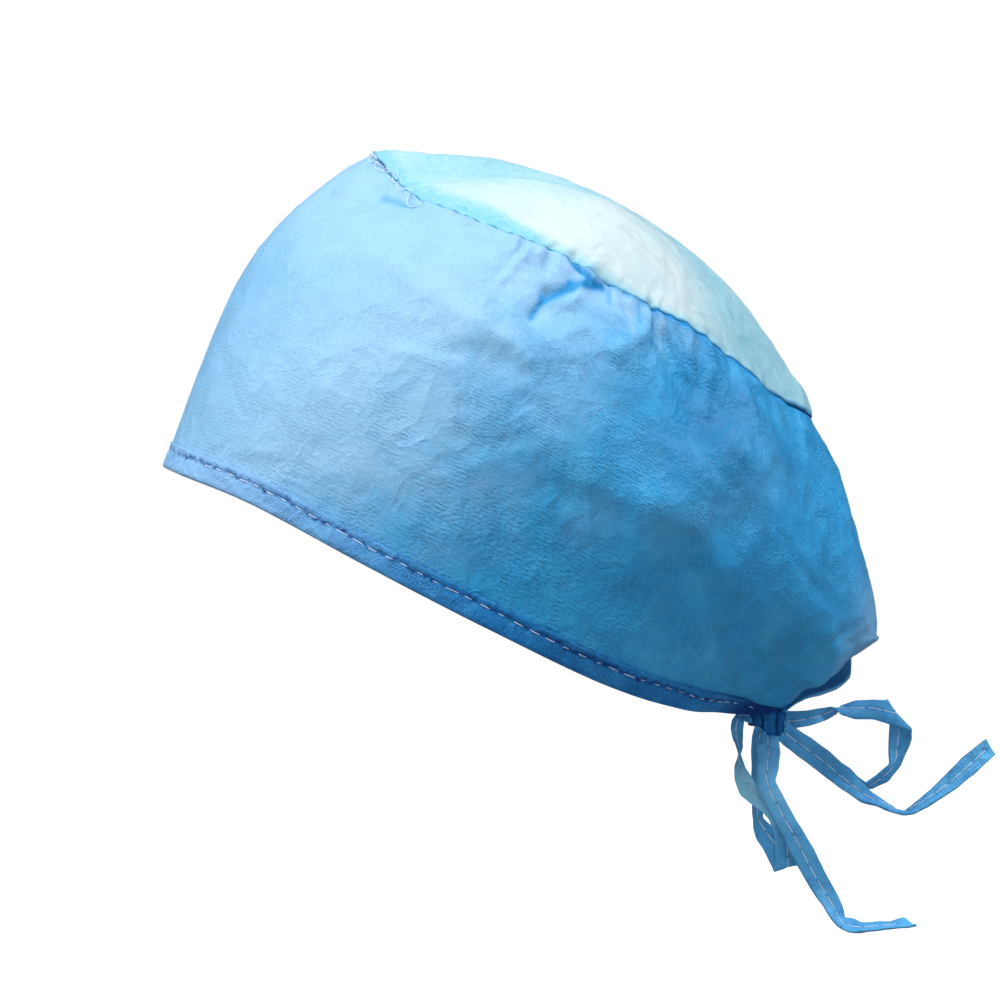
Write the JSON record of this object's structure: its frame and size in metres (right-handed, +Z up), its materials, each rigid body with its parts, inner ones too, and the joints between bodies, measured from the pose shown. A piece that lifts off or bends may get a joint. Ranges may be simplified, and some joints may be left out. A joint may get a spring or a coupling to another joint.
{
  "type": "surgical cap",
  "caption": "Soft nonwoven surgical cap, worn form: blue side panel, pale domed crown, stitched binding round a slanted opening, and ties in a bow at the nape.",
  "frame": {"origin": "middle of the head opening, where the cap sits on a head", "axes": "+Z up as worn, -Y towards the forehead, +X towards the wearer's left"},
  "size_m": [0.1647, 0.2608, 0.2406],
  "materials": {
    "panel_cloth": "mid-blue point-bonded nonwoven, matt",
    "crown_cloth": "pale aqua thin nonwoven, matt and slightly see-through",
    "binding_cloth": "blue nonwoven folded double, with one row of white stitching",
    "tie_cloth": "blue nonwoven ribbon folded double, with one row of white stitching",
    "thread": "white sewing thread"
  },
  "bodies": {
    "root": {"side_panel": "panel_cloth", "crown_top": "crown_cloth", "rim_binding": "binding_cloth", "tie_knot": "tie_cloth", "back_loop": "tie_cloth", "back_tail": "tie_cloth", "front_loop": "tie_cloth", "front_tail": "tie_cloth"}
  },
  "joints": []
}
